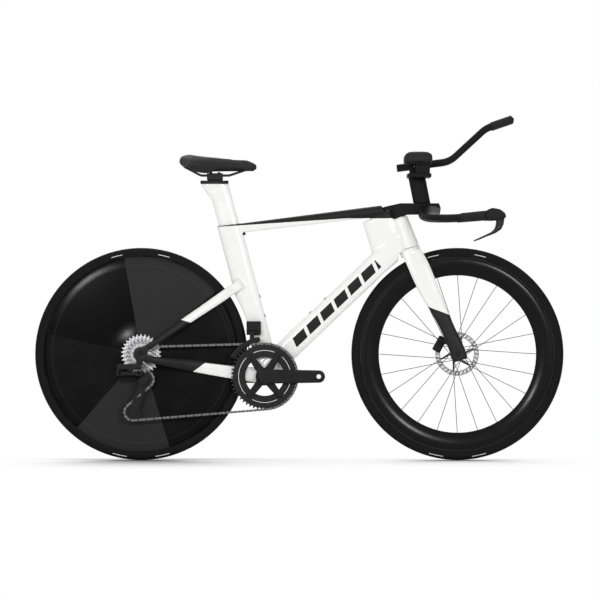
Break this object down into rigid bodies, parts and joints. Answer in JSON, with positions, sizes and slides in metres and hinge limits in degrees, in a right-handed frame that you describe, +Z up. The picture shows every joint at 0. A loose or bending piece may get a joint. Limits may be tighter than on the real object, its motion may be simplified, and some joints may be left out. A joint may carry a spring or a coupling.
{
  "type": "time trial bicycle",
  "caption": "Time trial bicycle: aerofoil frame, rear disc wheel, deep front wheel, base bar with raised forearm extensions, chain drive with derailleurs, disc brakes.",
  "frame": {"origin": "on the ground under the midpoint between the wheel axles, in the bike's middle plane", "axes": "+X forward, +Y to the rider's left, +Z up"},
  "size_m": [1.6878, 0.4406, 1.1001],
  "materials": {
    "white_carbon": "gloss white paint on carbon fibre",
    "black_carbon": "satin black carbon fibre",
    "black_alloy": "black anodised",
    "steel": "bare steel",
    "tyre_rubber": "matt",
    "grip_rubber": "matt",
    "saddle_cover": "smooth synthetic cover",
    "pad_fabric": "soft foam with a cloth cover",
    "black_steel": "black"
  },
  "bodies": {
    "frame": {"front_triangle": "white_carbon", "rear_triangle": "white_carbon", "bottom_bracket_cups": "black_alloy", "headset_bearings": "steel", "seat_wedge": "black_alloy", "bottle_inserts": "black_alloy", "rear_caliper": "black_alloy", "rear_thru_axle": "black_alloy", "front_derailleur_body": "black_alloy", "chain_outer_links": "steel", "chain_inner_links": "steel", "derailleur_mount": "black_alloy"},
    "front_derailleur_cage": {"front_derailleur_cage": "steel"},
    "derailleur_outer_link": {"derailleur_outer_link": "black_alloy"},
    "derailleur_inner_link": {"derailleur_inner_link": "black_alloy"},
    "derailleur_knuckle": {"derailleur_knuckle": "black_alloy"},
    "derailleur_cage": {"derailleur_cage": "black_alloy"},
    "guide_pulley": {"guide_pulley": "black_carbon"},
    "tension_pulley": {"tension_pulley": "black_carbon"},
    "seatpost": {"seatpost": "white_carbon", "saddle_track": "black_alloy"},
    "saddle": {"saddle_clamp": "black_alloy", "saddle_rails": "black_steel", "saddle_base": "black_carbon", "saddle_pad": "saddle_cover"},
    "fork": {"fork": "white_carbon", "front_caliper": "black_alloy", "front_thru_axle": "black_alloy", "stem": "black_carbon", "stem_cover": "black_carbon", "base_bar": "black_carbon", "bar_grips": "grip_rubber", "lever_bodies": "black_carbon", "riser": "black_carbon", "riser_plate": "black_carbon", "cockpit_bolts": "steel", "arm_cups": "black_carbon", "arm_pads": "pad_fabric"},
    "extensions": {"extension_tubes": "black_carbon", "extension_grips": "grip_rubber"},
    "shift_button_left": {"shift_button_left": "black_carbon"},
    "shift_button_right": {"shift_button_right": "black_carbon"},
    "brake_lever_left": {"brake_lever_left": "black_carbon"},
    "brake_lever_right": {"brake_lever_right": "black_carbon"},
    "front_wheel": {"front_tyre": "tyre_rubber", "front_rim": "black_carbon", "front_spokes": "black_steel", "front_hub": "black_alloy", "front_rotor": "steel"},
    "rear_wheel": {"rear_tyre": "tyre_rubber", "rear_disc": "black_carbon", "rear_hub": "black_alloy", "rear_rotor": "steel"},
    "cassette": {"freehub": "black_alloy", "cassette": "steel"},
    "crank": {"crank_right": "black_carbon", "crank_left": "black_carbon", "large_chainring": "black_alloy", "small_chainring": "black_alloy", "chainring_bolts": "steel"}
  },
  "joints": [
    {"name": "steer", "type": "hinge", "parent": "frame", "child": "fork", "pos_m": [0.46208, 0, 0.32547], "axis": [-0.3007, 0, 0.9537], "range_deg": [-35, 35]},
    {"name": "front_wheel_spin", "type": "hinge", "parent": "fork", "child": "front_wheel", "pos_m": [0.505, 0, 0.339], "axis": [0, 1, 0], "continuous": true},
    {"name": "rear_wheel_spin", "type": "hinge", "parent": "frame", "child": "rear_wheel", "pos_m": [-0.505, 0, 0.339], "axis": [0, 1, 0], "continuous": true},
    {"name": "crank_spin", "type": "hinge", "parent": "frame", "child": "crank", "pos_m": [-0.11047, 0, 0.2678], "axis": [0, 1, 0], "continuous": true, "deforming": ["chain_outer_links", "chain_inner_links"]},
    {"name": "cassette_spin", "type": "hinge", "parent": "frame", "child": "cassette", "pos_m": [-0.505, 0, 0.339], "axis": [0, 1, 0], "continuous": true, "deforming": ["chain_outer_links", "chain_inner_links"]},
    {"name": "derailleur_shift", "type": "hinge", "parent": "frame", "child": "derailleur_outer_link", "pos_m": [-0.566, -0.091, 0.276], "axis": [0, 0.5, 0.866], "range_deg": [0, 40], "deforming": ["chain_outer_links", "chain_inner_links"]},
    {"name": "derailleur_inner_link_swing", "type": "hinge", "parent": "frame", "child": "derailleur_inner_link", "pos_m": [-0.566, -0.08147, 0.2705], "axis": [0, 0.5, 0.866], "range_deg": [0, 40]},
    {"name": "derailleur_knuckle_swing", "type": "hinge", "parent": "derailleur_outer_link", "child": "derailleur_knuckle", "pos_m": [-0.514, -0.091, 0.276], "axis": [0, 0.5, 0.866], "range_deg": [-40, 0]},
    {"name": "cage_swing", "type": "hinge", "parent": "derailleur_knuckle", "child": "derailleur_cage", "pos_m": [-0.497, -0.06505, 0.255], "axis": [0, 1, 0], "range_deg": [-35, 15], "stiffness_Nm_per_rad": 0.6, "deforming": ["chain_outer_links", "chain_inner_links"]},
    {"name": "guide_pulley_spin", "type": "hinge", "parent": "derailleur_cage", "child": "guide_pulley", "pos_m": [-0.49, -0.06505, 0.259], "axis": [0, 1, 0], "continuous": true, "deforming": ["chain_outer_links", "chain_inner_links"]},
    {"name": "tension_pulley_spin", "type": "hinge", "parent": "derailleur_cage", "child": "tension_pulley", "pos_m": [-0.53078, -0.06505, 0.15469], "axis": [0, 1, 0], "continuous": true, "deforming": ["chain_outer_links", "chain_inner_links"]},
    {"name": "front_derailleur_swing", "type": "hinge", "parent": "frame", "child": "front_derailleur_cage", "pos_m": [-0.14547, -0.05, 0.4178], "axis": [1, 0, 0], "range_deg": [0, 10], "deforming": ["chain_outer_links", "chain_inner_links"]},
    {"name": "seatpost_slide", "type": "slide", "parent": "frame", "child": "seatpost", "axis": [-0.2543, 0, 0.9671], "range_m": [-0.03, 0.05]},
    {"name": "saddle_slide", "type": "slide", "parent": "seatpost", "child": "saddle", "axis": [1, 0, 0], "range_m": [-0.019, 0.019]},
    {"name": "extension_slide", "type": "slide", "parent": "fork", "child": "extensions", "axis": [0.9923, 0, 0.1239], "range_m": [-0.015, 0.015]},
    {"name": "brake_lever_left_pull", "type": "hinge", "parent": "fork", "child": "brake_lever_left", "pos_m": [0.64215, 0.205, 0.77362], "axis": [0, 1, 0], "range_deg": [0, 20], "stiffness_Nm_per_rad": 1.5, "springref_deg": -5.73},
    {"name": "shift_button_left_press", "type": "slide", "parent": "extensions", "child": "shift_button_left", "axis": [0.946, 0, 0.3242], "range_m": [-0.0015, 0], "stiffness_N_per_m": 600, "springref_m": 0.0005},
    {"name": "brake_lever_right_pull", "type": "hinge", "parent": "fork", "child": "brake_lever_right", "pos_m": [0.64215, -0.205, 0.77362], "axis": [0, 1, 0], "range_deg": [0, 20], "stiffness_Nm_per_rad": 1.5, "springref_deg": -5.73},
    {"name": "shift_button_right_press", "type": "slide", "parent": "extensions", "child": "shift_button_right", "axis": [0.946, 0, 0.3242], "range_m": [-0.0015, 0], "stiffness_N_per_m": 600, "springref_m": 0.0005}
  ],
  "couplings": [
    {"joint": "cassette_spin", "follows": "crank_spin", "ratio": 4.7273},
    {"joint": "guide_pulley_spin", "follows": "crank_spin", "ratio": -4},
    {"joint": "tension_pulley_spin", "follows": "crank_spin", "ratio": 4},
    {"joint": "derailleur_inner_link_swing", "follows": "derailleur_shift", "ratio": 1},
    {"joint": "derailleur_knuckle_swing", "follows": "derailleur_shift", "ratio": -1}
  ]
}
